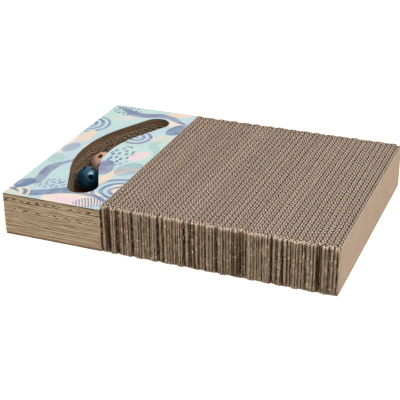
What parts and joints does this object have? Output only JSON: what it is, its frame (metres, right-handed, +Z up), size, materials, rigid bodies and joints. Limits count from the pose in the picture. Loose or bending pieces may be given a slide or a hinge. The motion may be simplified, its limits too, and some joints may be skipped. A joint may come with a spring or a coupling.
{
  "type": "cardboard cat scratcher",
  "caption": "Low corrugated cardboard cat scratcher: a pad of upright fluted strips beside a printed panel with a curved slot in which perforated balls roll.",
  "frame": {"origin": "on the floor under the middle of the block's outer box", "axes": "+Z up, +X from the play panel to the scratching pad along the block's length, -Y towards the front where the pad and panel are nearly flush"},
  "size_m": [0.4, 0.3, 0.056],
  "materials": {
    "kraft_board": "raw kraft liner and fluting",
    "printed_sheet": "white-lined board with a pastel print",
    "blue_plastic": "glossy moulded plastic, dark blue",
    "rose_plastic": "glossy moulded plastic, dusty rose",
    "bell_metal": "nickel-plated steel"
  },
  "bodies": {
    "base": {"floor_sheet_1": "kraft_board", "floor_sheet_2": "kraft_board", "slotted_sheet_1": "kraft_board", "slotted_sheet_2": "kraft_board", "slotted_sheet_3": "kraft_board", "slotted_sheet_4": "kraft_board", "slotted_sheet_5": "kraft_board", "slotted_sheet_6": "kraft_board", "printed_top_sheet": "printed_sheet", "scratch_strip_01": "kraft_board", "scratch_strip_02": "kraft_board", "scratch_strip_03": "kraft_board", "scratch_strip_04": "kraft_board", "scratch_strip_05": "kraft_board", "scratch_strip_06": "kraft_board", "scratch_strip_07": "kraft_board", "scratch_strip_08": "kraft_board", "scratch_strip_09": "kraft_board", "scratch_strip_10": "kraft_board", "scratch_strip_11": "kraft_board", "scratch_strip_12": "kraft_board", "scratch_strip_13": "kraft_board", "scratch_strip_14": "kraft_board", "scratch_strip_15": "kraft_board", "scratch_strip_16": "kraft_board", "scratch_strip_17": "kraft_board", "scratch_strip_18": "kraft_board", "scratch_strip_19": "kraft_board", "scratch_strip_20": "kraft_board", "scratch_strip_21": "kraft_board", "scratch_strip_22": "kraft_board", "scratch_strip_23": "kraft_board", "scratch_strip_24": "kraft_board", "scratch_strip_25": "kraft_board", "scratch_strip_26": "kraft_board", "scratch_strip_27": "kraft_board", "scratch_strip_28": "kraft_board", "scratch_strip_29": "kraft_board", "scratch_strip_30": "kraft_board", "scratch_strip_31": "kraft_board", "scratch_strip_32": "kraft_board", "scratch_strip_33": "kraft_board", "scratch_strip_34": "kraft_board", "scratch_strip_35": "kraft_board", "scratch_strip_36": "kraft_board", "scratch_strip_37": "kraft_board", "scratch_strip_38": "kraft_board", "scratch_strip_39": "kraft_board", "scratch_strip_40": "kraft_board", "scratch_strip_41": "kraft_board", "scratch_strip_42": "kraft_board", "scratch_strip_43": "kraft_board", "scratch_strip_44": "kraft_board"},
    "blue_bell": {"blue_ball_bell": "bell_metal"},
    "blue_ball": {"blue_ball_half_1": "blue_plastic", "blue_ball_half_2": "blue_plastic"},
    "rose_bell": {"rose_ball_bell": "bell_metal"},
    "rose_ball": {"rose_ball_half_1": "rose_plastic", "rose_ball_half_2": "rose_plastic"}
  },
  "joints": [
    {"name": "blue_ball_travel", "type": "hinge", "parent": "base", "child": "blue_bell", "pos_m": [0.01447, 0.0019, 0.0278], "axis": [0, 0, 1], "range_deg": [-2.4, 25]},
    {"name": "blue_ball_roll", "type": "hinge", "parent": "blue_bell", "child": "blue_ball", "pos_m": [-0.15017, -0.03279, 0.0278], "axis": [-0.9785, -0.2062, 0], "range_deg": [-280.91, 27.42]},
    {"name": "rose_ball_travel", "type": "hinge", "parent": "base", "child": "rose_bell", "pos_m": [0.01447, 0.0019, 0.0278], "axis": [0, 0, 1], "range_deg": [-33.4, 2.5]},
    {"name": "rose_ball_roll", "type": "hinge", "parent": "rose_bell", "child": "rose_ball", "pos_m": [-0.15347, 0.01217, 0.0278], "axis": [-0.9981, 0.061, 0], "range_deg": [-28.54, 375.13]}
  ],
  "couplings": [
    {"joint": "blue_ball_roll", "follows": "blue_ball_travel", "ratio": -11.216},
    {"joint": "rose_ball_roll", "follows": "rose_ball_travel", "ratio": -11.216}
  ]
}
